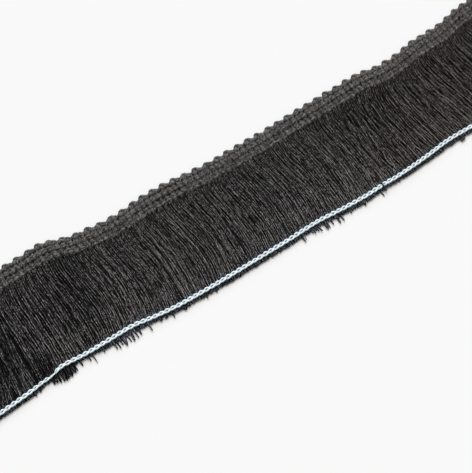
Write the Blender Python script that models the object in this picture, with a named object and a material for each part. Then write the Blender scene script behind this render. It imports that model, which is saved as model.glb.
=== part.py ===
"""Tassel fringe trim: a cut length of picot-edged knitted fringe, laid flat.

Frame: metres, +X along the trim, +Y from the cut ends towards the picot edge,
+Z up. The underside rests on z = 0, and the origin is under the middle.
"""

import math
from collections import namedtuple

import bmesh
import bpy
from mathutils import Vector

MM = 0.001

# The knitting: one stitch is the step by which the whole trim repeats.
STITCH = 2.4 * MM
STITCHES_PER_PICOT = 2
PICOTS = 58
STITCHES = STITCHES_PER_PICOT * PICOTS
TRIM_LENGTH = STITCHES * STITCH

# The heading band's section, from its lower edge to the picots' tips: how far
# across from its middle line, how thick at a stitch, and how thick between two.
Section = namedtuple("Section", "across stitch between")
HEADING_SECTION = (
    Section(-4.5 * MM, 1.1 * MM, 1.1 * MM),
    Section(-2.95 * MM, 1.9 * MM, 1.55 * MM),
    Section(-1.2 * MM, 1.3 * MM, 1.3 * MM),
    Section(0.3 * MM, 1.9 * MM, 1.55 * MM),
    Section(1.65 * MM, 1.3 * MM, 1.3 * MM),
    Section(2.5 * MM, 1.8 * MM, 1.5 * MM),
    Section(4.3 * MM, 1.0 * MM, 1.0 * MM),
)
HEADING_EDGE = HEADING_SECTION[0].across
PICOT_DEPTH = 1.2 * MM
SKEW = 0.5  # how far the band shears, rather than turns, where it curves

# The fringe: locks of thread that hang from one narrow root strip.
LOCKS_PER_PICOT = 3
LOCKS = LOCKS_PER_PICOT * PICOTS
PIECE_GAP = 0.3 * MM
ROOT_STRIP = 1.2 * MM
LOCK_WIDTH = 1.25 * MM
LOCK_RIDGE = 0.75 * MM
LOCK_STATIONS = 3
END_WAVER = 0.25 * MM

# The holding chain, a row of pale stitches across the locks near their ends.
CHAIN_WIDTH = 2.0 * MM
CHAIN_WAIST = 1.4 * MM
CHAIN_THICKNESS = 0.75 * MM
CHAIN_NECK = 0.5 * MM

# Where the trim lies, in millimetres: at each distance along it, the heading's
# middle line, the middle of the holding chain, how far a lock's foot lands along
# from its root, how far it swells sideways on the way, and how far its cut end
# reaches past the chain.
Station = namedtuple("Station", "along heading chain lean bow reach")
STATIONS = (
    Station(-139.2, 18.3, -26.5, -1.5, 0.3, 1.2),
    Station(-124.0, 19.3, -25.15, -3.5, 0.3, 1.27),
    Station(-112.0, 20.4, -24.0, -4.5, 0.5, 1.45),
    Station(-106.0, 21.1, -23.15, -4.3, 0.7, 1.15),
    Station(-102.0, 21.6, -22.9, -4.0, 0.8, 0.8),
    Station(-98.5, 21.8, -21.7, -3.7, 0.9, 1.3),
    Station(-95.0, 22.0, -21.6, -3.2, 1.1, 1.5),
    Station(-88.0, 22.3, -22.1, -2.5, 1.4, 1.1),
    Station(-78.0, 22.7, -22.05, -1.5, 1.8, 1.95),
    Station(-68.0, 19.7, -22.0, -1.3, 2.2, 2.0),
    Station(-59.0, 18.3, -23.25, -1.6, 2.4, 1.3),
    Station(-49.0, 17.8, -24.23, -1.6, 2.4, 1.57),
    Station(-35.0, 19.1, -24.5, -1.6, 2.3, 1.6),
    Station(-23.0, 19.0, -24.4, -1.6, 2.2, 1.75),
    Station(-11.0, 18.0, -24.2, -1.6, 2.2, 1.7),
    Station(1.0, 17.9, -24.0, -1.6, 2.2, 1.7),
    Station(13.0, 18.1, -23.6, -1.6, 2.2, 1.5),
    Station(25.0, 18.4, -24.3, -1.6, 2.2, 1.8),
    Station(35.0, 18.9, -24.6, -1.8, 2.0, 1.8),
    Station(42.0, 19.1, -24.3, -2.4, 0.8, 1.4),
    Station(52.0, 19.3, -24.2, -3.2, -0.2, 1.4),
    Station(66.0, 19.7, -23.15, -2.8, -0.8, 1.65),
    Station(76.0, 18.4, -22.0, -0.5, -0.7, 1.9),
    Station(85.0, 19.0, -21.9, 0.6, -0.8, 1.7),
    Station(95.0, 20.7, -21.9, 2.5, -0.5, 1.8),
    Station(107.0, 21.3, -21.2, 3.4, 0.0, 1.9),
    Station(121.0, 24.1, -19.4, 3.0, 0.3, 1.9),
    Station(139.2, 24.7, -18.2, 1.0, 0.3, 1.9),
)

# Bunches of thread that the blade left long, in millimetres.
Tuft = namedtuple("Tuft", "along reach extra")
TUFTS = (
    Tuft(-125.0, 1.5, 0.4),
    Tuft(-98.0, 4.8, 2.9),
    Tuft(-85.9, 0.8, 1.7),
    Tuft(-71.8, 5.6, 1.8),
    Tuft(-62.6, 0.8, 1.7),
    Tuft(-52.8, 1.0, 0.6),
    Tuft(5.5, 1.2, 2.3),
    Tuft(11.0, 1.2, 1.5),
    Tuft(17.0, 1.6, 2.1),
    Tuft(21.6, 1.2, 1.5),
    Tuft(41.5, 1.2, 1.0),
    Tuft(96.0, 2.4, 1.6),
    Tuft(124.0, 1.2, 2.0),
)

# The thickness of a lock at its root, halfway, under the chain and at its end.
LockSection = namedtuple("LockSection", "thickness width_share")
LOCK_SECTIONS = (
    LockSection(1.3 * MM, 1.0),
    LockSection(1.15 * MM, 1.0),
    LockSection(0.75 * MM, 1.0),
    LockSection(0.5 * MM, 0.7),
)

# One scallop of the picot edge, from valley to valley, as a share of its depth.
SCALLOP = (0.0, 0.7, 1.0, 0.45)


def line(column, along):
    """The smooth line through one column of STATIONS, in metres."""
    at = along / MM
    last = len(STATIONS) - 1
    i = max(k for k in range(last) if k == 0 or STATIONS[k].along <= at)
    near = [STATIONS[min(max(k, 0), last)] for k in range(i - 1, i + 3)]
    y = [getattr(station, column) for station in near]
    span = near[2].along - near[1].along
    slopes = []
    for k in (0, 1):
        rise = y[k + 2] - y[k]
        run = near[k + 2].along - near[k].along
        slopes.append(rise / run * span)
    t = min(max((at - near[1].along) / span, 0.0), 1.0)
    start = (2 * t**3 - 3 * t**2 + 1) * y[1] + (t**3 - 2 * t**2 + t) * slopes[0]
    end = (3 * t**2 - 2 * t**3) * y[2] + (t**3 - t**2) * slopes[1]
    return (start + end) * MM


def heading_point(along, across):
    """A point of the heading band, across from its middle line."""
    step = STITCH / 2
    slope = (line("heading", along + step) - line("heading", along - step)) / STITCH
    return along + SKEW * slope * across, line("heading", along) + across


def foot_point(along):
    """Where the lock that is rooted here passes under the holding chain."""
    foot = along + line("lean", along)
    return foot, line("chain", foot)


def lock_point(along, station, past_chain):
    """The middle of a lock at a station: 0 is its root and the last is its end."""
    root_across = HEADING_EDGE - PIECE_GAP - ROOT_STRIP
    root = Vector(heading_point(along, root_across))
    foot = Vector(foot_point(along))
    bow = Vector((line("bow", along), 0.0))
    halfway = (root + foot) / 2 + bow
    if station == LOCK_STATIONS:
        return foot + (foot - halfway).normalized() * past_chain
    return (root, halfway, foot)[station]


def end_length(lock, along):
    """How far a lock reaches past the holding chain."""
    waver = math.sin(1.9 * lock) * math.sin(0.83 * lock + 0.4)
    foot, _ = foot_point(along)
    extra = 0.0
    for tuft in TUFTS:
        away = abs(foot / MM - tuft.along) / tuft.reach
        if away < 1.0:
            extra = max(extra, tuft.extra * MM * (1.0 - 0.35 * away))
    return line("reach", foot) + END_WAVER * waver + extra


def subdivided_bar(columns, top_rows):
    """A box cut into columns along X, with rows across its top face only.

    Its corners then count off whole numbers: x is the column, y the row, and z
    is 0 below and 1 above.
    """
    bm = bmesh.new()
    bmesh.ops.create_cube(bm, size=1.0)
    bmesh.ops.translate(bm, verts=bm.verts, vec=(0.5, 0.5, 0.5))

    def runs_along(edge, axis):
        return abs((edge.verts[1].co - edge.verts[0].co)[axis]) > 0.5

    across_top = [
        e for e in bm.edges if runs_along(e, 1) and min(v.co.z for v in e.verts) > 0.5
    ]
    if top_rows > 1:
        bmesh.ops.subdivide_edges(bm, edges=across_top, cuts=top_rows - 1)
    lengthwise = [e for e in bm.edges if runs_along(e, 0)]
    bmesh.ops.subdivide_edges(bm, edges=lengthwise, cuts=columns - 1)
    bmesh.ops.scale(bm, verts=bm.verts, vec=(columns, top_rows, 1.0))
    return bm


def place_corners(bm, place):
    """Moves each counted corner to its real point."""
    for vert in bm.verts:
        counted = (round(vert.co.x), round(vert.co.y), round(vert.co.z))
        vert.co = Vector(place(*counted))


def add_piece(name, bm, material, collection):
    """Turns a finished bmesh into a named, smoothly shaded object."""
    bmesh.ops.recalc_face_normals(bm, faces=bm.faces)
    mesh = bpy.data.meshes.new(name)
    bm.to_mesh(mesh)
    bm.free()
    mesh.shade_smooth()
    mesh.set_sharp_from_angle(angle=math.radians(50))
    mesh.materials.append(material)
    piece = bpy.data.objects.new(name, mesh)
    collection.objects.link(piece)
    return piece


def yarn_material(name, colour, roughness):
    """A matt, undyed-looking yarn finish in one colour."""
    material = bpy.data.materials.new(name)
    material.use_nodes = True
    shader = material.node_tree.nodes["Principled BSDF"]
    shader.inputs["Base Color"].default_value = (*colour, 1.0)
    shader.inputs["Roughness"].default_value = roughness
    shader.inputs["Metallic"].default_value = 0.0
    return material


def make_heading(material, collection):
    """The knitted band: three ribs of stitches and an edge of picots."""
    tip_row = len(HEADING_SECTION) - 1
    columns_per_picot = len(SCALLOP)
    columns = PICOTS * columns_per_picot
    bm = subdivided_bar(columns, tip_row)

    def place(column, row, level):
        along = TRIM_LENGTH * (column / columns - 0.5)
        across, thickness, between = HEADING_SECTION[row]
        if row == tip_row:
            scallop = SCALLOP[column % columns_per_picot]
            across -= PICOT_DEPTH * (1.0 - scallop)
        if column % 2 == 0:
            thickness = between
        x, y = heading_point(along, across)
        return x, y, level * thickness

    place_corners(bm, place)
    return add_piece("heading", bm, material, collection)


def make_fringe(material, collection):
    """One comb: a narrow root strip and the locks that leave its front face."""
    bm = subdivided_bar(2 * LOCKS - 1, 1)
    tips = [
        f
        for f in bm.faces
        if f.normal.y < -0.5 and math.floor(f.calc_center_median().x) % 2 == 0
    ]
    for _ in range(LOCK_STATIONS):
        tips = bmesh.ops.extrude_discrete_faces(bm, faces=tips)["faces"]
        corners = {vert for face in tips for vert in face.verts}
        bmesh.ops.translate(bm, verts=list(corners), vec=(0.0, -1.0, 0.0))

    pitch = TRIM_LENGTH / LOCKS

    def place(column, row, level):
        lock, right = divmod(column, 2)
        along = (lock + 0.5) * pitch - TRIM_LENGTH / 2
        station = max(-row, 0)
        section = LOCK_SECTIONS[station]
        width = LOCK_RIDGE if level else LOCK_WIDTH
        if station == 0:
            width = LOCK_WIDTH
        beside = (right - 0.5) * width * section.width_share
        if row == 1:
            x, y = heading_point(along + beside, HEADING_EDGE - PIECE_GAP)
        else:
            x, y = lock_point(along, station, end_length(lock, along))
            x += beside
        return x, y, level * section.thickness

    place_corners(bm, place)
    return add_piece("fringe", bm, material, collection)


def make_holding_chain(material, collection):
    """The pale chain that lies on the locks and keeps them side by side."""
    columns = 2 * STITCHES
    bm = subdivided_bar(columns, 2)
    floor = LOCK_SECTIONS[2].thickness + PIECE_GAP

    def place(column, row, level):
        along = TRIM_LENGTH * (column / columns - 0.5)
        x, y = foot_point(along)
        belly = column % 2 == 1
        width = CHAIN_WIDTH if belly else CHAIN_WAIST
        thickness = CHAIN_THICKNESS if belly else CHAIN_NECK
        if level and row != 1:
            thickness *= 0.6
        return x, y + (row / 2 - 0.5) * width, floor + level * thickness

    place_corners(bm, place)
    return add_piece("holding_chain", bm, material, collection)


def main():
    for old in list(bpy.data.objects):
        bpy.data.objects.remove(old, do_unlink=True)
    trim = bpy.data.collections.new("tassel_fringe_trim")
    bpy.context.scene.collection.children.link(trim)
    make_heading(yarn_material("heading_yarn", (0.045, 0.043, 0.044), 0.85), trim)
    make_fringe(yarn_material("fringe_thread", (0.022, 0.020, 0.021), 0.6), trim)
    make_holding_chain(yarn_material("chain_yarn", (0.72, 0.80, 0.84), 0.8), trim)


main()
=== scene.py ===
"""The looks of the tassel fringe trim: each yarn of it, knitted as the real ones are.

The trim is built the way it is made. A weft of several threads runs up from the
fringe, through the heading's three chains of stitches, round one picot and back
down into the fringe, and a pale chain of stitches holds the threads near their
cut ends. Frame: metres, +X along the trim, +Y from the cut ends towards the
picot edge, +Z up. MM turns millimetres into metres.
"""

import math
from collections import namedtuple

import bmesh
import bpy
import numpy as np
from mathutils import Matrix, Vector


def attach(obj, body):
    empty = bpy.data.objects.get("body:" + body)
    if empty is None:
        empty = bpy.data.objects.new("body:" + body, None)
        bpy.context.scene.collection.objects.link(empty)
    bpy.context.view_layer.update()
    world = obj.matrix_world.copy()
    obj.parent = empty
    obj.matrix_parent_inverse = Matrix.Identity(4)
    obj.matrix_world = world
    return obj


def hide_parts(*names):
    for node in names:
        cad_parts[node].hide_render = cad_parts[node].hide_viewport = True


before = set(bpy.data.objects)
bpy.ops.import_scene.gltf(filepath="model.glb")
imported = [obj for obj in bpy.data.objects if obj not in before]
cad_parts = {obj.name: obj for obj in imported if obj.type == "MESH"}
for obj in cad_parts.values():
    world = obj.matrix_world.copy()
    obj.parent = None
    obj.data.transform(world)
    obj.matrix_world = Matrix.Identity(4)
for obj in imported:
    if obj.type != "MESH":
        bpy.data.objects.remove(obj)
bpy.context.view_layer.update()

MM = 0.001
UP = np.array((0.0, 0.0, 1.0))

# The knitting. One course is one stitch, the step by which the trim repeats.
COURSE = 2.4 * MM
PICOTS = 58
COURSES = 2 * PICOTS
TRIM_LENGTH = COURSES * COURSE

# Across the heading, from its middle line: each row of stitches, half its width,
# the heights of its yarn's middle at the back and at the front, how much lighter
# than the rest it is, and how much lighter still the legs on its picot side are,
# a painted shade on that side in the lower rows and a little painted light in the top row.
Row = namedtuple("Row", "place half back front light upper")
HEADING_ROWS = (
    Row(-3.15 * MM, 1.60 * MM, 0.42 * MM, 0.92 * MM, -0.22, -0.32),
    Row(0.10 * MM, 1.30 * MM, 0.42 * MM, 0.92 * MM, -0.06, -0.08),
    Row(2.70 * MM, 1.00 * MM, 0.42 * MM, 0.85 * MM, 0.28, 0.05),
)
HEADING_EDGE = -4.7 * MM
PICOT_BASE = 2.6 * MM
PICOT_TIP = 4.46 * MM
SKEW = 0.5  # how far the band shears, rather than turns, where it curves
SLANT = 0.65 * MM  # how far the courses step aside below the picots
SLANT_FROM, SLANT_TO = 3.6 * MM, 0.6 * MM

# Where the trim lies, in millimetres: at each distance along it, the heading's
# middle line, the middle of the holding chain, how far a thread's foot lands along
# from its root, how far it swells sideways on the way, and how far its cut end
# reaches past the chain.
Station = namedtuple("Station", "along heading chain lean bow reach")
STATIONS = [Station(*row) for row in (
    (-139.2, 18.3, -26.5, -1.5, 0.3, 1.2),
    (-124.0, 19.3, -25.15, -3.5, 0.3, 1.27),
    (-112.0, 20.4, -24.0, -4.5, 0.5, 1.45),
    (-106.0, 21.1, -23.15, -4.3, 0.7, 1.15),
    (-102.0, 21.6, -22.9, -4.0, 0.8, 0.8),
    (-98.5, 21.8, -21.7, -3.7, 0.9, 1.3),
    (-95.0, 22.0, -21.6, -3.2, 1.1, 1.5),
    (-88.0, 22.3, -22.1, -2.5, 1.4, 1.1),
    (-78.0, 22.7, -22.05, -1.5, 1.8, 1.95),
    (-68.0, 19.7, -22.0, -1.3, 2.2, 2.0),
    (-59.0, 18.3, -23.25, -1.6, 2.4, 1.3),
    (-49.0, 17.8, -24.23, -1.6, 2.4, 1.57),
    (-35.0, 19.1, -24.5, -1.6, 2.3, 1.6),
    (-23.0, 19.0, -24.4, -1.6, 2.2, 1.75),
    (-11.0, 18.0, -24.2, -1.6, 2.2, 1.7),
    (1.0, 17.9, -24.0, -1.6, 2.2, 1.7),
    (13.0, 18.1, -23.6, -1.6, 2.2, 1.5),
    (25.0, 18.4, -24.3, -1.6, 2.2, 1.8),
    (35.0, 18.9, -24.6, -1.8, 2.0, 1.8),
    (42.0, 19.1, -24.3, -2.4, 0.8, 1.4),
    (52.0, 19.3, -24.2, -3.2, -0.2, 1.4),
    (66.0, 19.7, -23.15, -2.8, -0.8, 1.65),
    (76.0, 18.4, -22.0, -0.5, -0.7, 1.9),
    (85.0, 19.0, -21.9, 0.6, -0.8, 1.7),
    (95.0, 20.7, -21.9, 2.5, -0.5, 1.8),
    (107.0, 21.3, -21.2, 3.4, 0.0, 1.9),
    (121.0, 24.1, -19.4, 3.0, 0.3, 1.9),
    (139.2, 24.7, -18.2, 1.0, 0.3, 1.9),
)]

# Threads that the blade left long, in millimetres: where they stand, half the
# width that they gather from, and how far they reach past the others.
Spike = namedtuple("Spike", "along half extra")
SPIKES = [Spike(*row) for row in (
    (-110.4, 0.5, 0.9), (-108.2, 0.4, 0.9), (-102.3, 0.5, 2.1), (-101.2, 0.6, 2.6),
    (-100.0, 0.6, 3.4), (-98.8, 0.6, 4.2), (-97.5, 0.7, 4.3), (-96.4, 0.5, 3.9),
    (-95.6, 0.5, 3.7), (-94.8, 0.45, 3.2), (-94.0, 0.45, 3.2), (-93.2, 0.3, 3.2),
    (-90.7, 0.35, 2.2), (-87.3, 0.25, 1.9), (-85.7, 0.25, 3.7), (-81.4, 0.3, 1.2),
    (-76.9, 0.3, 2.6), (-75.7, 0.3, 3.0), (-74.4, 0.3, 2.2), (-73.6, 0.25, 2.2),
    (-72.5, 0.55, 3.3), (-71.2, 0.25, 2.7), (-70.0, 0.3, 3.0), (-69.1, 0.45, 3.6),
    (-68.2, 0.25, 3.3), (-66.6, 0.25, 2.6), (-62.5, 0.25, 3.4), (-57.5, 0.5, 0.9),
    (-55.2, 0.4, 0.9), (-52.9, 0.3, 2.0), (-47.5, 0.5, 1.0), (-38.7, 0.25, 1.3),
    (-34.0, 0.5, 0.8), (4.8, 0.25, 2.8), (5.6, 0.25, 2.7), (9.4, 0.25, 1.2),
    (10.2, 0.25, 2.0), (11.0, 0.25, 1.2), (11.7, 0.25, 1.9), (12.7, 0.35, 2.5),
    (16.0, 0.7, 3.1), (18.0, 0.25, 2.7), (21.2, 0.4, 2.8), (22.3, 0.3, 2.7),
    (26.5, 0.3, 1.2), (33.4, 0.5, 1.0), (41.3, 0.25, 2.2), (43.2, 0.25, 1.3),
    (82.0, 0.9, 1.2), (81.3, 0.25, 1.9), (95.2, 0.3, 1.9), (96.1, 0.5, 2.5),
    (97.4, 0.25, 2.1), (112.0, 0.3, 1.2), (123.1, 0.25, 2.1), (124.0, 0.5, 2.8),
)]

# The pinholes that show in the heading: the whole number of courses from the
# trim's left end, and the groove between two rows of stitches. Then the courses
# beside them.
Pinhole = namedtuple("Pinhole", "course groove")
PINHOLES = [
    Pinhole(course, groove)
    for groove, courses in (
        (1.55 * MM, (19, 23, 25, 45, 47, 73, 83, 107)),
        (-1.1 * MM, (22, 24, 48)),
    )
    for course in courses
]
PARTED = sorted({hole.course - side for hole in PINHOLES for side in (0, 1)})

# One plump stitch of the heading, as its yarn runs: along the back, up the left
# leg, over the head, down the right leg. Each point gives the distance along in
# courses, the distance aside and the thickness as shares of half the row's
# width, and the height from the back (0) to the front (1).
PLUMP_STITCH = np.array((
    (0.06, 0.10, 0.26, 0.05),
    (0.25, 0.00, 0.24, 0.00),
    (0.60, 0.00, 0.24, 0.00),
    (0.93, -0.08, 0.28, 0.08),
    (1.03, -0.16, 0.40, 0.26),
    (1.15, -0.20, 0.58, 0.64),
    (1.32, -0.23, 0.73, 0.92),
    (1.51, -0.24, 0.82, 1.06),
    (1.70, -0.22, 0.73, 0.90),
    (1.87, -0.18, 0.56, 0.54),
    (1.98, 0.00, 0.38, 0.14),
    (1.87, 0.18, 0.56, 0.54),
    (1.70, 0.22, 0.73, 0.90),
    (1.51, 0.24, 0.82, 1.06),
    (1.32, 0.23, 0.73, 0.92),
    (1.15, 0.20, 0.58, 0.64),
    (1.03, 0.16, 0.40, 0.26),
))

# One stitch of the holding chain, in the same way: down at its right foot, along
# the back, up through the stitch before, up the left leg, over the head and down
# the right leg. It gives no thickness, which follows from the height.
CHAIN_STITCH = np.array((
    (-0.03, 0.22, 0.40),
    (0.04, 0.06, 0.02),
    (0.35, -0.05, 0.00),
    (0.70, -0.12, 0.05),
    (0.94, -0.16, 0.28),
    (1.07, -0.26, 0.66),
    (1.26, -0.50, 0.98),
    (1.52, -1.00, 1.10),
    (1.76, -0.88, 0.94),
    (1.94, -0.56, 0.66),
    (2.04, 0.00, 0.52),
    (1.94, 0.56, 0.66),
    (1.76, 0.88, 0.94),
    (1.52, 1.00, 1.10),
    (1.26, 0.50, 0.98),
    (1.07, 0.28, 0.66),
))

# How far knitted stitches differ from one another in lean, width and height, and
# how far the points of their yarn stray, aside and in height.
STITCH_LEAN, STITCH_WIDTH, STITCH_LIFT = 0.03, 0.05, 0.04
YARN_ASIDE, YARN_HEIGHT = 0.02, 0.015
STITCH_START = 1.02  # how far before the trim a row of them starts, in courses

# The holding chain: half its width and its yarn's radius, and where it is pulled
# tight, with the middle, the spread and the share.
CHAIN_HALF, CHAIN_RADIUS = 0.54 * MM, 0.36 * MM
Pinch = namedtuple("Pinch", "along spread share")
PINCHES = (
    Pinch(-101.8 * MM, 2.0 * MM, 0.6),
    Pinch(-107.0 * MM, 4.0 * MM, 0.25),
)


def smooth_line(column):
    """The smooth line through one column of STATIONS, as a function, in metres."""
    at = np.array([station.along for station in STATIONS]) * MM
    value = np.array([getattr(station, column) for station in STATIONS]) * MM
    before = np.maximum(np.arange(len(at)) - 1, 0)
    after = np.minimum(np.arange(len(at)) + 1, len(at) - 1)
    slope = (value[after] - value[before]) / (at[after] - at[before])

    def line(along):
        i = np.clip(np.searchsorted(at, along, side="right") - 1, 0, len(at) - 2)
        span = at[i + 1] - at[i]
        t = np.clip((along - at[i]) / span, 0.0, 1.0)
        start = (2 * t**3 - 3 * t**2 + 1) * value[i]
        start += (t**3 - 2 * t**2 + t) * slope[i] * span
        end = (3 * t**2 - 2 * t**3) * value[i + 1]
        end += (t**3 - t**2) * slope[i + 1] * span
        return start + end

    return line


heading_line = smooth_line("heading")
chain_line = smooth_line("chain")
lean_line = smooth_line("lean")
bow_line = smooth_line("bow")
reach_line = smooth_line("reach")


def heading_point(along, across):
    """X and Y of a point of the heading band, across from its middle line."""
    step = COURSE / 2
    rise = heading_line(along + step) - heading_line(along - step)
    slant = SLANT * smooth_step(-across, -SLANT_FROM, -SLANT_TO)
    return along + SKEW * rise / COURSE * across - slant, heading_line(along) + across


def foot_point(along):
    """X and Y of the foot, under the holding chain, of a thread rooted here."""
    foot = along + lean_line(along)
    return foot, chain_line(foot)


def smooth_step(value, start, end):
    """0 up to start, 1 from end on, and a smooth rise between them."""
    t = np.clip((value - start) / (end - start), 0.0, 1.0)
    return t * t * (3 - 2 * t)


def bell(value, middle, spread):
    """1 at the middle, and down to 0 on both sides of it, over about the spread."""
    return np.exp(-(((value - middle) / spread) ** 2))


def wave_field(seed, waves, shortest, longest, run):
    """A smooth random field over the trim, between about -1 and 1.

    Across the threads it changes over shortest to longest, and down them over
    about run, all in metres.
    """
    rng = np.random.default_rng(seed)
    length = shortest * (longest / shortest) ** rng.random(waves)
    drift = rng.normal(0.0, 1.0 / run, waves)
    phase = rng.random(waves)

    def field(along, down):
        along = np.asarray(along)
        total = np.zeros(np.broadcast(along, down).shape)
        for i in range(waves):
            turns = along / length[i] + down * drift[i] + phase[i]
            total += np.sin(2 * math.pi * turns)
        return total / math.sqrt(waves)

    return field


swell = wave_field(3, 8, 6 * MM, 24 * MM, 60 * MM)
clumps = wave_field(5, 14, 1.05 * MM, 1.45 * MM, 9 * MM)
under_clumps = wave_field(6, 14, 1.3 * MM, 3.5 * MM, 18 * MM)
clump_strength = wave_field(8, 8, 9 * MM, 30 * MM, 30 * MM)
furrows = wave_field(11, 14, 1.1 * MM, 1.6 * MM, 10 * MM)
piling = wave_field(13, 12, 0.8 * MM, 1.6 * MM, 6 * MM)


def catmull_rom(points, per_point):
    """Points on a smooth curve through the given ones, per_point for each."""
    padded = np.concatenate((points[:1], points, points[-1:], points[-1:]))
    p0, p1, p2, p3 = (padded[k:len(padded) - 3 + k] for k in range(4))
    steps = []
    for t in np.arange(per_point) / per_point:
        steps.append(0.5 * (
            2 * p1
            + (p2 - p0) * t
            + (2 * p0 - 5 * p1 + 4 * p2 - p3) * t**2
            + (3 * p1 - p0 - 3 * p2 + p3) * t**3
        ))
    return np.stack(steps, axis=1).reshape(-1, points.shape[1])


def unit(vectors):
    """The same directions, each of length 1."""
    return vectors / np.linalg.norm(vectors, axis=-1, keepdims=True)


def carried_frames(centres):
    """Two directions across each centreline, carried along it without twist."""
    tangent = unit(np.gradient(centres, axis=1))
    side = np.empty_like(centres)
    side[:, 0] = unit(np.cross(UP, tangent[:, 0]))
    for i in range(centres.shape[1] - 1):
        step = centres[:, i + 1] - centres[:, i]
        size = (step * step).sum(1, keepdims=True)
        turned = side[:, i] - 2 / size * (step * side[:, i]).sum(1, keepdims=True) * step
        ahead = tangent[:, i]
        ahead = ahead - 2 / size * (step * ahead).sum(1, keepdims=True) * step
        step = tangent[:, i + 1] - ahead
        size = np.maximum((step * step).sum(1, keepdims=True), 1e-12)
        side[:, i + 1] = turned - 2 / size * (step * turned).sum(1, keepdims=True) * step
    return side, np.cross(tangent, side)


# How many sides the yarn of the stitches has, and a thread of the fringe, and
# between which distances from its ends a yarn's tip fades out, in millimetres.
YARN_SIDES, THREAD_SIDES = 8, 4
TIP_LENGTH = (3.2, 5.5)


def tube_points(centres, wide, thick, roll, sides, flatten):
    """The points of the tubes round these centrelines: (yarns, steps, sides, 3)."""
    side, top = carried_frames(centres)
    angle = np.arange(sides) * 2 * math.pi / sides
    wide, thick, roll = (
        np.broadcast_to(value, centres.shape[:2])[..., None] for value in (wide, thick, roll)
    )
    out = wide * np.cos(angle)
    rise = thick * np.sin(angle)
    on_side = out * np.cos(roll) - rise * np.sin(roll)
    on_top = out * np.sin(roll) + rise * np.cos(roll)
    offset = on_side[..., None] * side[:, :, None] + on_top[..., None] * top[:, :, None]
    offset[..., 2] *= flatten
    return centres[:, :, None] + offset


def tube_faces(yarns, steps, sides):
    """The corners of the tubes' faces and caps, and the first corner of each."""
    ring = np.arange(sides)
    following = (ring + 1) % sides
    start = (np.arange(yarns)[:, None] * steps + np.arange(steps - 1)) * sides
    start = start[..., None]
    quads = np.stack(
        (start + ring, start + following, start + sides + following, start + sides + ring),
        axis=-1,
    )
    first = np.arange(yarns)[:, None] * steps * sides
    caps = np.stack((first + ring[::-1], first + (steps - 1) * sides + ring), axis=1)
    cap_starts = quads.size + np.arange(2 * yarns) * sides
    corners = np.concatenate((quads.ravel(), caps.ravel()))
    return corners, np.concatenate((np.arange(0, quads.size, 4), cap_starts))


def add_uv_maps(mesh, length, sides):
    """Adds the map of each yarn's length and turn, and the one over the unit square."""
    yarns, steps = length.shape
    share = np.arange(steps) / (steps - 1)
    turn = np.arange(sides) / sides
    row = np.arange(yarns)[:, None, None]
    yarn = np.empty((yarns, steps - 1, sides, 4, 2))
    spread = np.empty_like(yarn)
    for corner, (ahead, beside) in enumerate(((0, 0), (0, 1), (1, 1), (1, 0))):
        at = slice(ahead, steps - 1 + ahead)
        around = turn + beside / sides
        yarn[..., corner, 0] = length[:, at, None]
        yarn[..., corner, 1] = around
        spread[..., corner, 0] = (row + around) / yarns
        spread[..., corner, 1] = share[at, None]
    yarn_caps = np.zeros((yarns, 2, sides, 2))
    yarn_caps[:, 1, :, 0] = length[:, -1, None]
    spread_caps = np.zeros_like(yarn_caps)
    spread_caps[..., 0] = (row + turn) / yarns
    spread_caps[:, 1, :, 1] = 1.0
    for name, faces, caps in (("yarn", yarn, yarn_caps), ("OFBake", spread, spread_caps)):
        layer = mesh.uv_layers.new(name=name)
        flat = np.concatenate((faces.ravel(), caps.ravel())).astype(np.float32)
        layer.uv.foreach_set("vector", flat)
    mesh.uv_layers.active = mesh.uv_layers["yarn"]


def yarn_mesh(name, centres, wide, thick, roll, sides, flatten=1.0, tones=0.0):
    """One mesh of many yarns, as closed tubes.

    centres is (yarns, steps, 3). wide and thick are the half-sizes of the
    section and roll its turn, each of them for every yarn and step. The mesh
    gets a UV map "yarn", in millimetres along and turns around, a map that
    spreads every face over the unit square, a "shade" from 0 to 1 for each yarn,
    the "tone" by which each point is lighter or darker than its yarn, and a "tip"
    that rises to 1 near both ends.
    """
    yarns, steps, _ = centres.shape
    points = tube_points(centres, wide, thick, roll, sides, flatten)
    corners, starts = tube_faces(yarns, steps, sides)
    mesh = bpy.data.meshes.new(name)
    mesh.vertices.add(points.size // 3)
    mesh.vertices.foreach_set("co", points.astype(np.float32).ravel())
    mesh.loops.add(len(corners))
    mesh.loops.foreach_set("vertex_index", corners.astype(np.int32))
    mesh.polygons.add(len(starts))
    mesh.polygons.foreach_set("loop_start", starts.astype(np.int32))
    mesh.update(calc_edges=True)
    mesh.shade_smooth()

    hop = np.linalg.norm(np.diff(centres, axis=1), axis=2)
    length = np.concatenate((np.zeros((yarns, 1)), np.cumsum(hop, axis=1)), axis=1) / MM
    add_uv_maps(mesh, length, sides)

    rng = np.random.default_rng(yarns * 7 + sides)
    shade = np.repeat(rng.random(yarns), steps * sides)
    tone = np.repeat(np.broadcast_to(tones, (yarns, steps)), sides)
    from_end = np.minimum(length, length[:, -1:] - length)
    tip = np.repeat(1 - smooth_step(from_end, *TIP_LENGTH), sides)
    for layer_name, values in (("shade", shade), ("tone", tone), ("tip", tip)):
        attribute = mesh.attributes.new(layer_name, "FLOAT", "POINT")
        attribute.data.foreach_set("value", values.astype(np.float32))
    return mesh


def placed(name, data):
    """A new object in the scene."""
    thing = bpy.data.objects.new(name, data)
    bpy.context.scene.collection.objects.link(thing)
    return thing


def add_piece(name, mesh, material, slot, *nodes):
    """Puts a finished mesh in the scene, as part of the trim."""
    piece = placed(name, mesh)
    mesh.materials.append(material)
    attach(piece, "root")
    if nodes:
        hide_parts(*nodes)
    return piece


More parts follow.
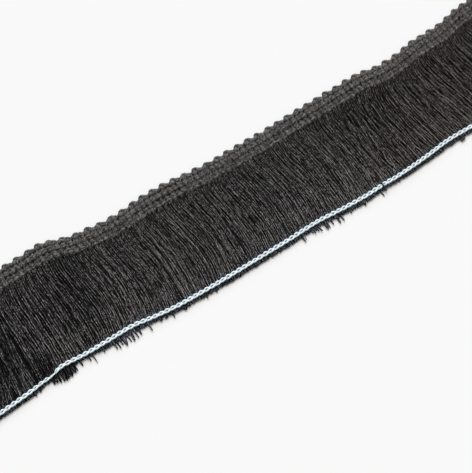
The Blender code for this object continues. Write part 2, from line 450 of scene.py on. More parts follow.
def knitted_yarn(stitch, towards, rng):
    """The yarn of one row of stitches: the columns of stitch, along in metres.

    towards is 1 where the knitting runs from left to right, and -1 where it doesn't.
    """
    per_stitch = len(stitch)
    points = np.tile(stitch, (COURSES, 1))
    points[:, 0] += np.repeat(np.arange(COURSES), per_stitch)
    plump, lift, lag = np.repeat(rng.normal(0.0, 1.0, (3, COURSES)), per_stitch, axis=1)
    points[:, 0] += STITCH_LEAN * lag * points[:, -1]
    points[:, 1:-1] *= 1.0 + STITCH_WIDTH * plump[:, None]
    points[:, -1] *= 1.0 + STITCH_LIFT * lift
    points[:, 1] += rng.normal(0.0, YARN_ASIDE, len(points))
    points[:, -1] += rng.normal(0.0, YARN_HEIGHT, len(points))
    smooth = catmull_rom(points, 2)
    limit = TRIM_LENGTH / 2
    smooth[:, 0] = towards * ((smooth[:, 0] - STITCH_START) * COURSE - limit)
    smooth[:, 0] = np.clip(smooth[:, 0], -limit, limit)
    # The points that were clipped to the trim's ends are kept a nanometre apart.
    smooth[:, 0] += np.arange(len(smooth)) * 1e-9
    return smooth


def make_heading_knit(material):
    """The heading's rows of plump stitches, knitted side by side."""
    rng = np.random.default_rng(21)
    leg_aside = np.abs(PLUMP_STITCH[:, 1]).max()
    paths, sizes, tones = [], [], []
    for row in HEADING_ROWS:
        along, aside, size, height = knitted_yarn(PLUMP_STITCH, 1, rng).T
        x, y = heading_point(along, row.place + aside * row.half)
        z = row.back + height * (row.front - row.back)
        paths.append(np.stack((x, y, z), axis=-1))
        sizes.append(size * row.half)
        # Painted shade: the yarn turns darker where it dives between stitches.
        sunk_shade = 1.0 - smooth_step(height, 0.1, 0.95)
        # The legs on the picot side get painted shade, and a little painted light in the top row.
        tones.append(row.light + row.upper * aside / leg_aside - 0.15 * sunk_shade)
    size = np.stack(sizes)
    mesh = yarn_mesh(
        "heading_knit", np.stack(paths), size, size, 0.0, YARN_SIDES, flatten=0.6,
        tones=np.stack(tones),
    )
    return add_piece("heading_knit", mesh, material, "heading_yarn", "heading")


def make_chain_knit(material):
    """The pale holding chain, pulled thin where the threads bunch under it."""
    along, aside, height = knitted_yarn(CHAIN_STITCH, -1, np.random.default_rng(34)).T
    pulled = np.ones(len(along))
    for pinch in PINCHES:
        pulled -= pinch.share * bell(along, pinch.along, pinch.spread)
    y = chain_line(along) + aside * CHAIN_HALF * pulled
    z = 0.25 * MM + height * 0.93 * MM
    radius = CHAIN_RADIUS * (0.3 + 0.7 * pulled)
    radius = radius * (0.35 + 0.65 * smooth_step(height, 0.1, 0.6))
    centres = np.stack((along, y, z), axis=-1)[None]
    mesh = yarn_mesh("chain_knit", centres, radius, radius, 0.0, YARN_SIDES, flatten=0.78)
    return add_piece("chain_knit", mesh, material, "chain_yarn", "holding_chain")


# The teeth that the cut ends stick together in: how long one is and how far it pulls
# its threads together. Then how far a narrow spike does, and a wide one.
TOOTH, TOOTH_PULL = 0.8 * MM, 0.25
NARROW_PULL, WIDE_PULL = 0.85, 0.15


def cut_ends(foot, rng):
    """How far threads reach past the chain, and where and how much they gather."""
    tooth = np.floor(foot / TOOTH)
    uneven = np.random.default_rng(77).random(1000)[tooth.astype(int) % 1000]
    length = reach_line(foot) + (0.35 + 0.35 * (uneven - 0.5)) * MM
    length = length + rng.normal(0.0, 0.07 * MM, foot.shape)
    middle = (tooth + 0.5) * TOOTH
    pull = np.full(foot.shape, TOOTH_PULL)
    for spike in SPIKES:
        away = np.abs(foot / MM - spike.along) / spike.half
        tall = spike.extra * MM * (1 - 0.25 * away) * rng.uniform(0.8, 1.0, foot.shape)
        inside = away < 1
        length = np.where(inside, reach_line(foot) + 0.3 * MM + tall, length)
        middle = np.where(inside, spike.along * MM, middle)
        pull = np.where(inside, NARROW_PULL if spike.half < 0.4 else WIDE_PULL, pull)
    return length, middle, pull


OWN_TONE = 0.15  # how much lighter or darker than the rest a single thread is
THREADS = 6  # in one course of one layer


def own_tone(place):
    """How much lighter than the rest a thread is, unlike the threads beside it."""
    values = np.random.default_rng(61).normal(0.0, 1.0, 2000)
    values = values - 0.4 * (np.roll(values, 1) + np.roll(values, -1))
    seat = np.round((place + TRIM_LENGTH / 2) / (COURSE / THREADS)).astype(int)
    return OWN_TONE * values[seat % len(values)]


# How one layer of threads lies: each thread's place in its course's bundle and its
# height in the pile, its radius, the half-sizes of its section and how much of them
# is left at the cut, how many points it has in the heading, the fringe and the cut
# end, the field that clumps it and how far, how far each thread strays on its own,
# and how hollow its picots and how deep its furrows are.
Lay = namedtuple(
    "Lay", "offsets levels radius wide thick tip steps field clumping stray hollow"
)

# Threads on their way down to the holding chain, each a row: where they leave the
# heading and where their feet stand, how far they swell sideways, then for each of
# their points the share of the way, the way down, the way left and how free it is
# of both ends, and last how tangled they are and how far they cross the others.
Fall = namedtuple(
    "Fall", "along root_x root_y foot_x foot_y bow share down left free tangled unruly"
)

TOP_LEVEL = 1.15  # the highest a thread may lie in the pile
UPPER_LEVEL = 0.75  # from this level on, it is one of the upper threads

# The threads in the heading: the height of the lowest, how much higher the highest
# lies, how much higher all run at the lower edge, and how wide their bundles are,
# how much narrower at that edge, and how wide beside a pinhole.
HEADING_LOW, HEADING_RANGE, ROOT_RISE = 0.45 * MM, 0.5 * MM, 0.18 * MM
BUNDLE_WIDE, BUNDLE_NARROWS, BUNDLE_PARTED = 0.94, 0.26, 0.3

# The heights of the pile of threads, against the share of the way down: at the
# heading's edge, just below it, halfway, above the holding chain and under it.
PILE_AT = (0.0, 0.08, 0.5, 0.9, 1.0)
PILE_HEIGHT = np.array((1.15, 1.25, 1.3, 1.1, 0.95)) * MM

# How bundles spread below the heading, how all threads curve sideways there, and
# how bundles gather at their feet: how far, and over what length.
ROOT_SPREAD, SPREAD_LENGTH = 0.32, 1.2 * MM
ROOT_CURVE, CURVE_LENGTH = 1.8 * MM, 4 * MM
FOOT_GATHER, GATHER_LENGTH = 0.05, 2.2 * MM

# The waves in which the upper and the lower threads cross, and those of the tangle:
# how far they swing, in shares of a thread's stray, and their length along the trim
# over 2 pi. The first of each bends once on the way down, and the second twice.
CROSSING = ((4.5, 6.1 * MM), (3.0, 3.7 * MM))
TANGLE, TANGLE_PHASE = ((22, 5 * MM), (8, 4.3 * MM)), 5.9
TANGLE_STRAY = 4  # how much more the tangled threads stray

# The bends that are a thread's own: how far they reach, in shares of its stray, how
# many there are, and how much that number differs.
OWN_BENDS = ((0.6, 3, 0.5), (0.6, 9, 1), (0.3, 15, 2))
LOOSE_SHARE, LOOSE_STRAY = 0.06, 2.4  # how many threads stray more, and how much

# How far threads surface and dive in the pile, over what length and at what paces,
# and how deep they sink in the furrows between clumps.
DIVE, DIVE_LENGTH, PACES = 0.14, 11 * MM, (0.7, 1.5)
FURROW = 0.45

# The thread that lies over the holding chain: where, and how much higher it lies.
OVER_CHAIN, OVER_HALF, OVER_RISE = 43.2 * MM, 0.2 * MM, 1.1 * MM

# Where the threads change along the trim, from a start to an end: the tangle begins
# and stops, the painted shade of the left end stops, the painted shade of the tuft of
# long ends begins and stops, and so does the painted shade below the heading. Then the
# middle and the spread of two painted shades: the hollow over the pinched chain, and a
# place where the threads would lie lower.
TANGLE_START, TANGLE_STOP = (-134 * MM, -118 * MM), (-112 * MM, -100 * MM)
SHADED_LEFT_STOP = (-100 * MM, -55 * MM)
SHADED_TUFT_START, SHADED_TUFT_STOP = (-104 * MM, -102.5 * MM), (-93.5 * MM, -92 * MM)
SHADE_START, SHADE_STOP = (25 * MM, 50 * MM), (75 * MM, 100 * MM)
PINCH_SHADE = (-104 * MM, 4 * MM)
LOW_PILE_SHADE = (50 * MM, 12 * MM)


def heading_height(level):
    """How high a thread of this level in its bundle runs in the heading."""
    return HEADING_LOW + HEADING_RANGE * level


def heading_run(course, offset, level, steps):
    """The threads' centrelines in the heading, from the base of their picot down."""
    across = np.linspace(PICOT_BASE, HEADING_EDGE, steps + 1)[None, :-1]
    low = smooth_step(-across, 3.0 * MM, -HEADING_EDGE)
    hole = np.isin(np.round((course + TRIM_LENGTH / 2) / COURSE - 0.5), PARTED)
    wide = np.where(hole, BUNDLE_PARTED, BUNDLE_WIDE - BUNDLE_NARROWS * low)
    x, y = heading_point(course + offset * wide, across)
    # Inside the heading, the middle threads of a bundle lie over the outer ones.
    inner = smooth_step(across, -4.0 * MM, -3.0 * MM) * smooth_step(-across, -2.6 * MM, -1.9 * MM)
    z = heading_height(level) + ROOT_RISE * low
    z = z + 0.22 * MM * inner * (0.6 - (offset / MM) ** 2)
    return np.stack(np.broadcast_arrays(x, y, z), axis=-1)


def fall_from(along, lay, rng):
    """How threads fall that leave the heading at these places."""
    root_x, root_y = heading_point(along, HEADING_EDGE)
    tangled = 1 - smooth_step(along, *TANGLE_STOP)
    unruly = tangled * smooth_step(along, *TANGLE_START)
    astray = lay.stray * (1 + TANGLE_STRAY * tangled) * rng.normal(0.0, 1.0, along.shape)
    foot_x, foot_y = foot_point(along + astray)
    reach = np.hypot(foot_x - root_x, foot_y - root_y)
    share = np.linspace(0.0, 1.0, lay.steps[1] + 1)[None, :]
    down = share * reach
    left = reach - down
    free = smooth_step(down, 0.5 * MM, 7 * MM) * smooth_step(left, 0.3 * MM, 3 * MM)
    bow = bow_line(along)
    return Fall(
        along, root_x, root_y, foot_x, foot_y, bow, share, down, left, free, tangled, unruly
    )


def wave(fall, length, bends, phase=0.0, lag=0.0):
    """A wave of threads, from its length over 2 pi and its bends on the way down."""
    along = np.sin(fall.along / length + phase)
    return along * np.sin(bends * math.pi * fall.share + lag)


def wander(fall, level, stray, rng):
    """How far threads leave their line, each on its own and in waves that cross."""
    own = rng.normal(0.0, 1.0, (6,) + level.shape)
    loose = stray * np.where(rng.random(level.shape) < LOOSE_SHARE, LOOSE_STRAY, 1.0)
    side = np.where(level > UPPER_LEVEL, 1.0, -1.0)
    unruly = fall.unruly
    far = own[0] * np.sin(math.pi * fall.share) + 0.8 * own[1] * np.sin(2 * math.pi * fall.share)
    far = far * (1 + TANGLE_STRAY * unruly)
    (once, once_length), (twice, twice_length) = TANGLE
    far = far + unruly * side * once * wave(fall, once_length, 1, TANGLE_PHASE)
    far = far + unruly * twice * wave(fall, twice_length, 2, side, 0.5 * side)
    for bends, (swing, length) in enumerate(CROSSING, 1):
        far = far + side * swing * wave(fall, length, bends)
    for (size, bends, differ), much in zip(OWN_BENDS, (own[2], own[4], own[5])):
        far = far + size * much * np.sin((bends + differ * own[3]) * math.pi * fall.share)
    return loose * far


def fall_along(fall, offset, level, lay, rng):
    """Where falling threads lie along the trim, at each of their points."""
    share, down = fall.share, fall.down
    x = fall.root_x + (fall.foot_x - fall.root_x) * share + fall.bow * 4 * share * (1 - share)
    x = x - ROOT_SPREAD * offset * (1 - smooth_step(down, 0.0, SPREAD_LENGTH))
    x = x + ROOT_CURVE * (share - 1 + np.exp(-down / CURVE_LENGTH))
    clumping = lay.clumping * (1.0 + 0.4 * clump_strength(fall.along, down))
    x = x + fall.free * clumping * 1.2 * np.tanh(lay.field(fall.along, down))
    x = x + fall.free * 0.06 * MM * swell(fall.along, down)
    x = x + fall.free * wander(fall, level, lay.stray, rng)
    return x - FOOT_GATHER * offset * bell(fall.left, 0.0, GATHER_LENGTH)


def fall_level(fall, level, lay, rng):
    """How high in the pile falling threads lie, at each of their points."""
    pace, start = rng.uniform(*PACES, level.shape), rng.random(level.shape)
    dive = np.sin(2 * math.pi * (pace * fall.down / DIVE_LENGTH + start))
    furrow = np.clip(lay.hollow * furrows(fall.along, fall.down), 0.0, 1.0)
    lies = level + DIVE * fall.free * dive - FURROW * fall.free * furrow
    return np.clip(lies, 0.0, TOP_LEVEL)


def fall_height(fall, lies, level, lay):
    """How high above the floor falling threads lie, at each of their points."""
    pile = np.interp(fall.share, PILE_AT, PILE_HEIGHT)
    z = lay.radius + lies * (pile - 2 * lay.radius)
    z = z + fall.free * level * 0.10 * MM * piling(fall.along, fall.down)
    caught = lay.hollow * (np.abs(fall.foot_x - OVER_CHAIN) < OVER_HALF)
    z = z + caught * OVER_RISE * smooth_step(fall.share, 0.93, 0.99)
    root_z = heading_height(level) + ROOT_RISE
    return root_z + (z - root_z) * smooth_step(fall.down, 0.0, 2 * MM)


def end_run(fall, feet, lay, rng):
    """The threads' centrelines past the chain, on from their feet to the cut."""
    foot_x, foot_y, foot_z = (feet[:, axis, None] for axis in range(3))
    length, middle, pull = cut_ends(foot_x, rng)
    splay = rng.normal(0.0, 1.8 * MM, foot_x.shape)
    heading_off = unit(np.concatenate(
        (fall.foot_x - fall.root_x - 3 * fall.bow + splay, fall.foot_y - fall.root_y), axis=1
    ))
    part = np.linspace(0.0, 1.0, lay.steps[2] + 1)[None, 1:]
    x = foot_x + heading_off[:, :1] * part * length
    y = foot_y + heading_off[:, 1:] * part * length
    x = x + (middle - x) * pull * smooth_step(part, 0.1, 0.7)
    end_z = lay.radius + 0.7 * (foot_z - lay.radius)
    z = foot_z + (end_z - foot_z) * smooth_step(part, 0.0, 1.0)
    return np.stack(np.broadcast_arrays(x, y, z), axis=-1)


def thread_tones(fall, lies):
    """How much lighter threads are in the heading, in the fringe and at the cut, with painted
    light and shade.
    """
    share = fall.share
    # Painted shade: the threads darken towards the left end.
    tone = own_tone(fall.along) - 0.12 * (1 - smooth_step(fall.along, *SHADED_LEFT_STOP))
    # Tones are calm just below the heading, where painted shade also darkens them, and the tangle
    # gets painted shade, darkest halfway down.
    calm_and_shade = 1 - smooth_step(fall.down, 1.5 * MM, 9 * MM)
    shade = 1 - smooth_step(fall.down, 7 * MM, 20 * MM)
    shade = shade * smooth_step(fall.along, *SHADE_START)
    shade = shade * (1 - 0.7 * smooth_step(fall.along, *SHADE_STOP))
    # Painted shade in the hollow above the pinched chain.
    pinch_shade = bell(fall.foot_x, *PINCH_SHADE) * smooth_step(share, 0.65, 0.9)
    tangle_shade = smooth_step(share, 0.15, 0.5) * (1 - 0.6 * smooth_step(share, 0.7, 0.95))
    # Painted shade: the cut ends of the tuft of long ends are darker.
    tuft_shade = smooth_step(fall.foot_x, *SHADED_TUFT_START) * (1 - smooth_step(fall.foot_x, *SHADED_TUFT_STOP))

    # Painted shade: threads that lie lower in the pile are darker.
    fringe = (tone + 0.6 * (lies - 0.7)) * (1 - 0.7 * calm_and_shade) * (1 - 0.4 * fall.tangled)
    fringe = fringe - 0.14 * calm_and_shade + 0.26 * smooth_step(share, 0.5, 0.9)
    # Painted shade round 50 mm, as if the threads lay lower there, and the painted shade below
    # the heading.
    fringe = fringe - 0.14 * bell(fall.foot_x, *LOW_PILE_SHADE) - 0.16 * shade
    fringe = fringe - 0.9 * pinch_shade - 0.5 * fall.unruly * tangle_shade
    # Painted light: in the heading the same threads are lighter, against the shade of its
    # grooves.
    return tone + 0.45, fringe, 0.5 * tone + 0.22 - 0.7 * tuft_shade


def thread_paths(course, offset, level, lay, seed):
    """Threads from the base of their picot to their cut ends: centrelines and tones.

    course is the middle of each thread's course, offset its place in the course's
    bundle and level its height in the pile, from 0 to 1.
    """
    rng = np.random.default_rng(seed)
    course, offset, level = course[:, None], offset[:, None], level[:, None]
    heading = heading_run(course, offset, level, lay.steps[0])
    fall = fall_from(course + offset, lay, rng)
    x = fall_along(fall, offset, level, lay, rng)
    y = fall.root_y + (fall.foot_y - fall.root_y) * fall.share
    lies = fall_level(fall, level, lay, rng)
    z = fall_height(fall, lies, level, lay)
    fringe = np.stack(np.broadcast_arrays(x, y, z), axis=-1)
    ends = end_run(fall, fringe[:, -1], lay, rng)
    runs = (heading, fringe, ends)
    tones = [
        np.broadcast_to(tone, run.shape[:2]) for tone, run in zip(thread_tones(fall, lies), runs)
    ]
    return np.concatenate(runs, axis=1), np.concatenate(tones, axis=1)


# Half the width of a picot's outermost thread, of its innermost one if the picot is
# closed, and how much wider that is if it is hollow, in millimetres. Then how much
# picots differ in size, how far they lean and how far their tips do, and how much
# that differs.
PICOT_OUTER, PICOT_INNER, PICOT_HOLLOW = 1.5, 0.15, 0.6
PICOT_VARIES, PICOT_LEAN, TIP_LEAN, LEAN_VARIES = 0.05, 0.10, 0.10, 0.15


def picot_run(picot, offset, level, other, lay, rng):
    """The threads' centrelines round their picots, and how much painted light makes them lighter.
    """
    turn = np.linspace(math.pi, 0.0, lay.steps[0] + 4)[None, 1:-1]
    inmost, outmost = lay.offsets.min(), lay.offsets.max()
    ring = ((offset - inmost) / (outmost - inmost))[:, None]
    wide, tall, lean = np.random.default_rng(40).normal(0.0, 1.0, (3, PICOTS))[:, picot, None]
    inner = PICOT_INNER + PICOT_HOLLOW * lay.hollow
    half = (inner + (PICOT_OUTER - inner) * ring) * MM * (1 + PICOT_VARIES * wide)
    rise = lay.hollow + (1 - lay.hollow) * ring
    rise = rise * (PICOT_TIP - lay.radius - PICOT_BASE) * (1 + PICOT_VARIES * tall)
    wobble = PICOT_VARIES * rng.normal(0.0, 1.0, (len(picot), 1))
    wobble = 1.0 + wobble * np.sin(2 * turn)
    lean = -PICOT_LEAN * MM - (TIP_LEAN + LEAN_VARIES * lean) * MM * np.sin(turn)
    middle = (2 * picot + 1.0) * COURSE - TRIM_LENGTH / 2
    along = middle[:, None] + lean + half * np.cos(turn) * wobble
    x, y = heading_point(along, PICOT_BASE + rise * np.sin(turn) * wobble)
    height = level[:, None] + (other - level)[:, None] * (0.5 + 0.5 * np.cos(turn))
    z = heading_height(height)
    z = z + 0.16 * MM * np.sin(turn) * np.cos(2 * turn + 5 * level[:, None])
    points = np.stack(np.broadcast_arrays(x, y, z), axis=-1)
    # Painted light: the plump picots are lighter than the same thread in the fringe, less so at
    # their outer rim.
    return points, np.broadcast_to(0.6 - 0.5 * smooth_step(ring, 0.6, 1.0), points.shape[:2])


def weft_paths(picots, lay, seed):
    """Whole weft threads: cut end, heading, picot, heading and cut end again."""
    rng = np.random.default_rng(seed)
    picot = np.repeat(picots, THREADS)
    offset = np.tile(lay.offsets, len(picots)) + rng.normal(0.0, 0.05 * MM, len(picot))
    level = np.tile(lay.levels, len(picots)) + rng.normal(0.0, 0.10, len(picot))
    level = np.clip(level, 0.0, TOP_LEVEL)
    # Where a thread lies high on one side of its picot, it lies low on the other.
    other = np.clip(lay.levels.min() + lay.levels.max() - level, 0.0, TOP_LEVEL)
    first = (2 * picot + 0.5) * COURSE - TRIM_LENGTH / 2
    going, going_tones = thread_paths(first, -offset, level, lay, seed + 1)
    coming, coming_tones = thread_paths(first + COURSE, offset, other, lay, seed + 2)
    arc, arc_tones = picot_run(picot, offset, level, other, lay, rng)
    paths = np.concatenate((going[:, ::-1], arc, coming), axis=1)
    tones = np.concatenate((going_tones[:, ::-1], arc_tones, coming_tones), axis=1)
    return paths, tones


def spun(paths, pitch, seed):
    """How far the section of each thread has turned at each of its points."""
    rng = np.random.default_rng(seed)
    hop = np.linalg.norm(np.diff(paths, axis=1), axis=2)
    length = np.concatenate((np.zeros((len(paths), 1)), np.cumsum(hop, axis=1)), axis=1)
    rate = 2 * math.pi / (pitch * rng.uniform(0.85, 1.2, (len(paths), 1)))
    return rng.uniform(0.0, 2 * math.pi, (len(paths), 1)) + length * rate


def tapered(half_size, paths, lay):
    """The threads' half-size at each of their points, less towards both cut ends."""
    at = np.arange(paths.shape[1])
    return half_size * np.interp(np.minimum(at, at[::-1]), (0, lay.steps[2]), (lay.tip, 1.0))


def make_fringe(material, shaded_under):
    """The threads that show, in three runs along the trim, and those under them."""
    offsets = np.linspace(-1.0, 1.0, THREADS) * MM
    lay = Lay(
        offsets=offsets, levels=np.array((0.95, 0.6, 0.9, 0.7, 1.0, 0.55)),
        radius=0.17 * MM, wide=0.21 * MM, thick=0.15 * MM, tip=0.95, steps=(6, 54, 5),
        field=clumps, clumping=0.07 * MM, stray=0.12 * MM, hollow=0.8,
    )
    made = []
    for run, (start, stop) in enumerate(((0, 20), (20, 39), (39, 58))):
        paths, tones = weft_paths(np.arange(start, stop), lay, 100 + 10 * run)
        wide, thick = (tapered(size, paths, lay) for size in (lay.wide, lay.thick))
        roll = spun(paths, 3.2 * MM, run)
        name = f"fringe_threads_{run + 1}"
        mesh = yarn_mesh(name, paths, wide, thick, roll, THREAD_SIDES, tones=tones)
        nodes = ("fringe",) if run == 1 else ()
        made.append(add_piece(name, mesh, material, "fringe_thread", *nodes))

    # The threads under them are the same yarn in a darker material: painted shade deep in the
    # pile.
    lay = Lay(
        offsets=offsets, levels=np.array((0.1, 0.55, 0.3, 0.6, 0.2, 0.45)),
        radius=0.2 * MM, wide=0.40 * MM, thick=0.18 * MM, tip=0.5, steps=(5, 22, 4),
        field=under_clumps, clumping=0.12 * MM, stray=0.02 * MM, hollow=0.2,
    )
    paths, tones = weft_paths(np.arange(PICOTS), lay, 140)
    wide = tapered(lay.wide, paths, lay)
    mesh = yarn_mesh("under_threads", paths, wide, lay.thick, 0.0, THREAD_SIDES, tones=tones)
    made.append(add_piece("under_threads", mesh, shaded_under, "fringe_thread"))
    return made


# The ground of the heading: where its points stand across and, in courses, along,
# how thick it is, how high its edge lies, how much higher the rest lies, and how
# high its ribs are.
BAND_ROWS = MM * np.array((
    -7.0, -6.0, -5.2, -4.5, -3.9, -3.3, -2.7, -2.1, -1.4,
    -0.8, -0.3, 0.2, 0.8, 1.25, 1.85, 2.4, 3.1,
))
BAND_COLUMNS = np.array((-0.12, 0.12, 0.32, 0.5, 0.68))
BAND_THICKNESS = 0.25 * MM
BAND_LOW, BAND_RISE, BAND_RIB = 0.25 * MM, 0.2 * MM, 0.12 * MM


def in_pinhole(column, across):
    """Whether this place of the heading's ground is left open."""
    return any(
        -0.05 < column - hole.course < 0.27 and -0.1 < (across - hole.groove) / MM < 0.7
        for hole in PINHOLES
    )


def make_band(material):
    """The ground of the heading: the densest layer of its wefts, ribbed by them."""
    columns = (np.arange(COURSES)[:, None] + BAND_COLUMNS).ravel()
    columns = np.append(columns[1:], COURSES)
    columns[0] = 0.0
    along = columns * COURSE - TRIM_LENGTH / 2
    rows = BAND_ROWS
    falls = smooth_step(rows, rows[0], rows[3])
    bm = bmesh.new()
    grid = []
    for at, column in zip(along, columns):
        rib = BAND_RIB * math.cos(2 * math.pi * (column - 0.5))
        line = []
        for across, fall in zip(rows, falls):
            x, y = heading_point(at, across)
            line.append(bm.verts.new((x, y, BAND_LOW + fall * (BAND_RISE + rib))))
        grid.append(line)
    for i in range(len(grid) - 1):
        for j in range(len(rows) - 1):
            if not in_pinhole((columns[i] + columns[i + 1]) / 2, (rows[j] + rows[j + 1]) / 2):
                bm.faces.new((grid[i][j], grid[i + 1][j], grid[i + 1][j + 1], grid[i][j + 1]))
    bmesh.ops.recalc_face_normals(bm, faces=bm.faces)
    bmesh.ops.solidify(bm, geom=bm.faces[:], thickness=BAND_THICKNESS)
    bmesh.ops.recalc_face_normals(bm, faces=bm.faces)
    mesh = bpy.data.meshes.new("heading_ground")
    bm.to_mesh(mesh)
    bm.free()
    mesh.shade_smooth()
    return add_piece("heading_ground", mesh, material, "fringe_thread")


class Nodes:
    """A material's node tree, with a short way to add and join its nodes."""

    def __init__(self, name):
        self.material = bpy.data.materials.new(name)
        self.material.use_nodes = True
        self.tree = self.material.node_tree
        self.shader = self.tree.nodes["Principled BSDF"]

    def add(self, kind, settings=None, **inputs):
        """Adds a node with these settings and inputs, where i6 is input number 6."""
        node = self.tree.nodes.new("ShaderNode" + kind)
        for key, value in (settings or {}).items():
            setattr(node, key, value)
        for key, value in inputs.items():
            self.put(node, int(key[1:]) if key[1:].isdigit() else key, value)
        return node

    def put(self, node, key, value):
        """Sets one input to a value, or joins it to another node's output."""
        socket = node.inputs[key]
        if isinstance(value, bpy.types.NodeSocket):
            self.tree.links.new(value, socket)
        else:
            socket.default_value = value

    def math(self, operation, first, second=0.0):
        """The output of one sum."""
        node = self.add("Math", {"operation": operation}, i0=first, i1=second)
        return node.outputs[0]

    def between(self, value, low, high, start=0.0, end=1.0):
        """The output that goes from low to high as the value goes from start to end."""
        ends = {"From Min": start, "From Max": end, "To Min": low, "To Max": high}
        return self.add("MapRange", Value=value, **ends).outputs[0]

    def noise(self, place, scale, detail):
        """The output of a noise."""
        return self.add("TexNoise", Vector=place, Scale=scale, Detail=detail).outputs["Fac"]

    def ramp(self, share, colours):
        """The output of a colour that runs through these colours with the share."""
        node = self.add("ValToRGB", Fac=share)
        stops = node.color_ramp.elements
        for _ in colours[2:]:
            stops.new(0.5)
        for i, colour in enumerate(colours):
            stops[i].position = i / (len(colours) - 1)
            stops[i].color = (*colour, 1.0)
        return node.outputs["Color"]

    def dyed(self, share, colour, dye):
        """The output of a colour that takes on a dye as far as the share says."""
        node = self.add(
            "Mix", {"data_type": "RGBA", "blend_type": "MULTIPLY"}, i0=share, i6=colour, i7=dye
        )
        return node.outputs[2]


# How a yarn looks: its colours from the dark through the middle to the light, its
# roughness from glint to shade, the number of its plies and their turn in mm, how
# much its tone changes along a yarn in painted glints, with the plies in their painted
# light and shade, and with the fuzz that lies over neighbouring yarns, the bump's
# strength and depth, its sheen and specular levels, how far its dye turns warmer
# towards the trim's right end, and how much of its unevenness is left at the trim's ends.
Look = namedtuple(
    "Look", "colours gloss plies turn along ply fuzz bump sheen specular warm quiet"
)

# The warm dye of the trim's right and the painted cool shade of the cut tips, where
# along the trim the first comes in, and how far from the middle the yarns lose their
# unevenness.
WARM_DYE = (1.05, 0.99, 0.91, 1.0)
COOL_TIP_SHADE = (0.78, 0.94, 1.17, 1.0)
WARM_FROM_TO = (20 * MM, 70 * MM)
QUIET_FROM_TO = (70 * MM, 120 * MM)

# How far apart the yarns of one piece are, in turns of their plies and in the noise,
# and the scales of the noise: on the yarn, per millimetre, and in the open, per metre.
TURNS_APART, NOISE_APART = 37.0, 900.0
GLINT_SCALE, FIBRE_SCALE, FUZZ_SCALE = 1.4, 5.0, 2200.0


def yarn_material(name, look):
    """A spun yarn: plies that wind round it and fibres that shade and catch light in its bump,
    with glints and the plies' light and shade painted into its colour.
    """
    n = Nodes(name)
    uv = n.add("UVMap", {"uv_map": "yarn"}).outputs["UV"]
    parts = n.add("SeparateXYZ", Vector=uv)
    along, around = parts.outputs["X"], parts.outputs["Y"]
    shade, tone, tip = (
        n.add("Attribute", {"attribute_name": key}).outputs["Fac"]
        for key in ("shade", "tone", "tip")
    )
    place = n.add("TexCoord").outputs["Object"]
    side = n.add("SeparateXYZ", Vector=place).outputs["X"]

    turns = n.math("DIVIDE", along, look.turn)
    turns = n.math("ADD", turns, n.math("MULTIPLY", around, look.plies))
    turns = n.math("ADD", turns, n.math("MULTIPLY", shade, TURNS_APART))
    wind = n.math("SINE", n.math("MULTIPLY", turns, 2 * math.pi))

    # The yarn's own place in the noise, so that neighbours do not match.
    seat = n.add("CombineXYZ", X=along, Y=n.math("MULTIPLY", shade, NOISE_APART), Z=around)
    glint = n.noise(seat.outputs[0], GLINT_SCALE, 1.0)
    fibre = n.noise(seat.outputs[0], FIBRE_SCALE, 3.0)
    fuzz = n.noise(place, FUZZ_SCALE, 2.0)

    tone = n.math("ADD", tone, 0.5)
    left = n.between(n.math("ABSOLUTE", side), 1.0, look.quiet, *QUIET_FROM_TO)
    # The glint noise paints glints along the yarn into its tone, the fuzz adds a mottle, and the
    # plies' wind paints their light and shade.
    for noise, share in ((glint, look.along), (fuzz, look.fuzz)):
        change = n.math("MULTIPLY", n.math("SUBTRACT", noise, 0.5), left)
        tone = n.math("ADD", tone, n.math("MULTIPLY", change, share))
    tone = n.math("ADD", tone, n.math("MULTIPLY", wind, look.ply))
    colour = n.ramp(tone, look.colours)
    colour = n.dyed(n.between(side, 0.0, look.warm, *WARM_FROM_TO), colour, WARM_DYE)
    # The cut tips get a painted cool shade.
    n.put(n.shader, "Base Color", n.dyed(tip, colour, COOL_TIP_SHADE))

    n.put(n.shader, "Roughness", n.between(glint, look.gloss[1], look.gloss[0]))
    n.put(n.shader, "Specular IOR Level", look.specular)
    n.put(n.shader, "Sheen Weight", look.sheen)
    n.put(n.shader, "Sheen Roughness", 0.5)
    height = n.math("ADD", wind, n.math("MULTIPLY", fibre, 1.2))
    relief = n.add("Bump", Height=height, Strength=look.bump[0], Distance=look.bump[1])
    n.put(n.shader, "Normal", relief.outputs["Normal"])
    return n.material


def ground_material():
    """The heading's ground: dark, ribbed threads packed side by side."""
    n = Nodes("heading_ground")
    place = n.add("TexCoord").outputs["Object"]
    wave = n.add("TexWave", Vector=place, Scale=320.0, Distortion=1.5, Detail=2.0)
    ribs = wave.outputs["Fac"]
    n.put(n.shader, "Base Color", n.ramp(ribs, ((0.040, 0.039, 0.038), (0.110, 0.107, 0.105))))
    n.put(n.shader, "Roughness", n.between(ribs, 0.85, 0.65))
    relief = n.add("Bump", Height=ribs, Strength=0.6, Distance=0.1 * MM)
    n.put(n.shader, "Normal", relief.outputs["Normal"])
    return n.material


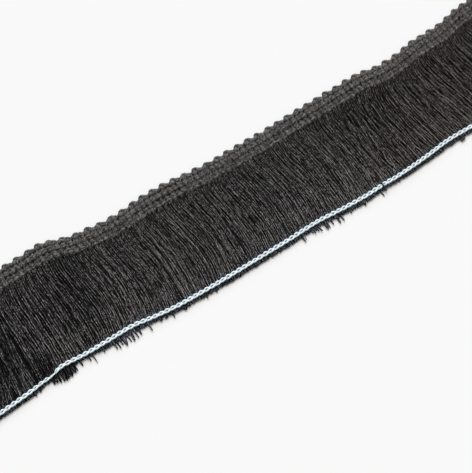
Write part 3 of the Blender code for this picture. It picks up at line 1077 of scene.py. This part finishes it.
def make_stage():
    """A plain pale floor, soft light all round and a broad light from far above."""
    bm = bmesh.new()
    bmesh.ops.create_circle(bm, cap_ends=True, segments=64, radius=4.0)
    mesh = bpy.data.meshes.new("floor")
    bm.to_mesh(mesh)
    bm.free()
    floor = placed("floor", mesh)
    floor.location.z = -0.05 * MM
    n = Nodes("floor")
    n.put(n.shader, "Base Color", (0.86, 0.86, 0.86, 1.0))
    n.put(n.shader, "Roughness", 0.9)
    n.put(n.shader, "Specular IOR Level", 0.0)
    mesh.materials.append(n.material)

    world = bpy.data.worlds.new("studio")
    world.use_nodes = True
    sky = world.node_tree.nodes["Background"]
    sky.inputs["Color"].default_value = (1.0, 0.92, 0.85, 1.0)
    sky.inputs["Strength"].default_value = 0.40
    bpy.context.scene.world = world

    sun = bpy.data.lights.new("window", "SUN")
    sun.energy = 4.0
    sun.color = (0.9254, 0.968, 1.0046)
    sun.angle = math.radians(50)
    falls = Vector((-0.35, -0.80, -0.65))
    placed("window", sun).rotation_euler = falls.to_track_quat("-Z", "Y").to_euler()


def make_camera():
    """The photograph's viewpoint: from the fringe's side, 60 degrees up."""
    azimuth, elevation = math.radians(-33.9), math.radians(60)
    target, distance = Vector((-15.6, -11.32, 0.0)), 563.28  # in millimetres
    back = Vector((
        math.sin(azimuth) * math.cos(elevation),
        -math.cos(azimuth) * math.cos(elevation),
        math.sin(elevation),
    ))
    camera = bpy.data.cameras.new("camera")
    camera.sensor_width = 36
    camera.lens = 114.17
    camera.clip_start = 0.01
    holder = placed("camera", camera)
    holder.location = target * MM + back * distance * MM
    holder.rotation_euler = (-back).to_track_quat("-Z", "Y").to_euler()
    bpy.context.scene.camera = holder


make_camera()
make_stage()
bpy.context.scene.view_settings.view_transform = "Standard"

thread = yarn_material("fringe_thread", Look(
    colours=((0.002, 0.002, 0.002), (0.041, 0.038, 0.038), (0.240, 0.226, 0.222)),
    gloss=(0.32, 0.6), plies=2, turn=1.3, along=4.4, ply=0.15, fuzz=3.6,
    bump=(0.5, 0.06 * MM), sheen=0.0, specular=0.25, warm=1.0, quiet=0.62,
))
# The same thread deep in the pile, darker: painted shade.
shaded_under = yarn_material("under_thread_painted_shade", Look(
    colours=((0.002, 0.002, 0.002), (0.008, 0.008, 0.008), (0.030, 0.029, 0.028)),
    gloss=(0.5, 0.7), plies=2, turn=2.2, along=2.0, ply=0.12, fuzz=2.0,
    bump=(0.4, 0.06 * MM), sheen=0.0, specular=0.05, warm=1.0, quiet=1.0,
))
black_yarn = yarn_material("heading_yarn", Look(
    colours=((0.006, 0.006, 0.006), (0.0430, 0.0415, 0.0395), (0.146, 0.139, 0.133)),
    gloss=(0.55, 0.8), plies=7, turn=4.0, along=3.6, ply=0.12, fuzz=6.5,
    bump=(0.8, 0.10 * MM), sheen=0.1, specular=0.3, warm=0.5, quiet=1.0,
))
pale_yarn = yarn_material("chain_yarn", Look(
    colours=((0.66, 0.785, 0.85), (0.82, 0.935, 0.99), (0.90, 0.98, 1.0)),
    gloss=(0.6, 0.8), plies=3, turn=1.4, along=1.0, ply=0.15, fuzz=0.5,
    bump=(0.6, 0.08 * MM), sheen=0.2, specular=0.4, warm=0.0, quiet=1.0,
))
knit = make_heading_knit(black_yarn)
chain = make_chain_knit(pale_yarn)
threads = make_fringe(thread, shaded_under)
band = make_band(ground_material())
